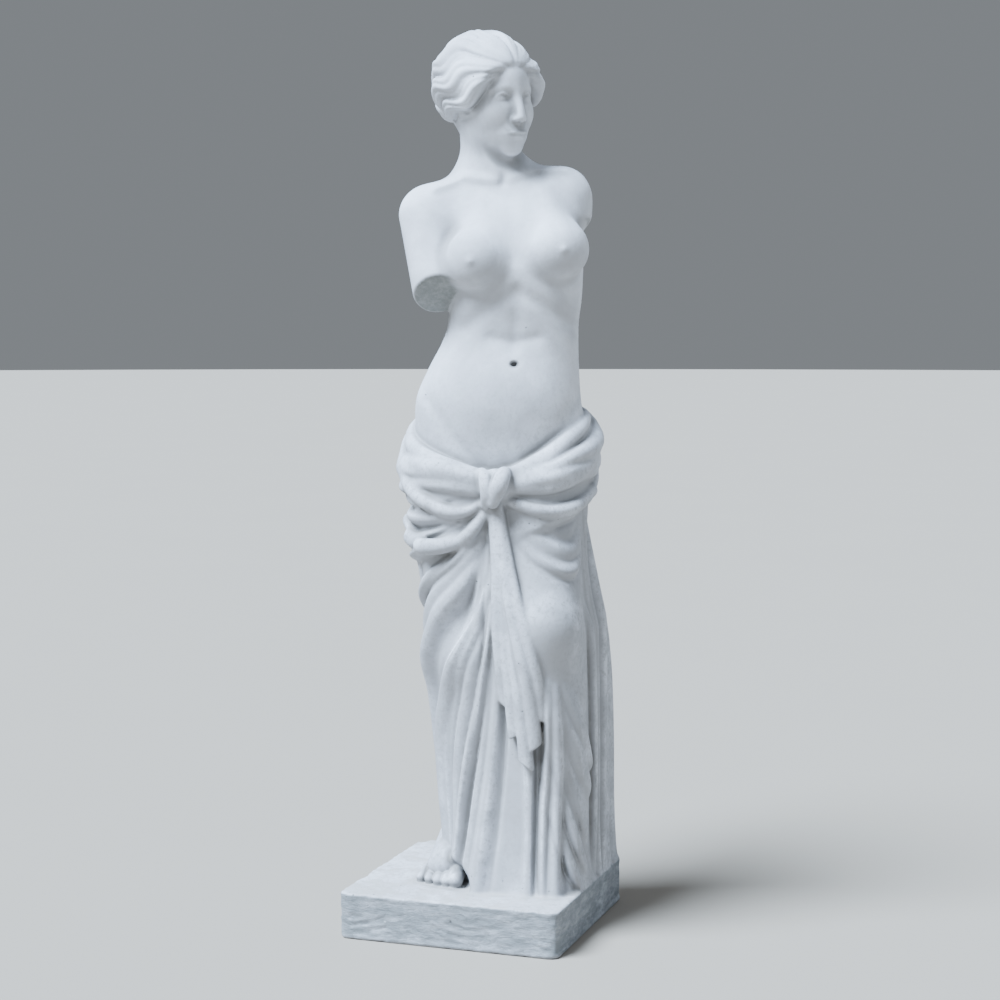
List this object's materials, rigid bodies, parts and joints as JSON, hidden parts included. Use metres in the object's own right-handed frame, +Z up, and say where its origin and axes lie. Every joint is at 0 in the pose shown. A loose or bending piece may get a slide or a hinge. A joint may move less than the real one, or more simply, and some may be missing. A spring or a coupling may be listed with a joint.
{
  "type": "classical goddess garden statue",
  "caption": "Half-draped standing classical goddess on a low square plinth, cast in one piece of pale stone.",
  "frame": {"origin": "centre of the plinth's underside, on the ground", "axes": "+Z up from the ground to the crown of the head, -Y out of the plinth's front face, +X to the viewer's right"},
  "size_m": [0.305, 0.305, 1.1958],
  "materials": {
    "cast_stone": "weathered matt white cast stone"
  },
  "bodies": {
    "root": {"statue": "cast_stone"}
  },
  "joints": []
}
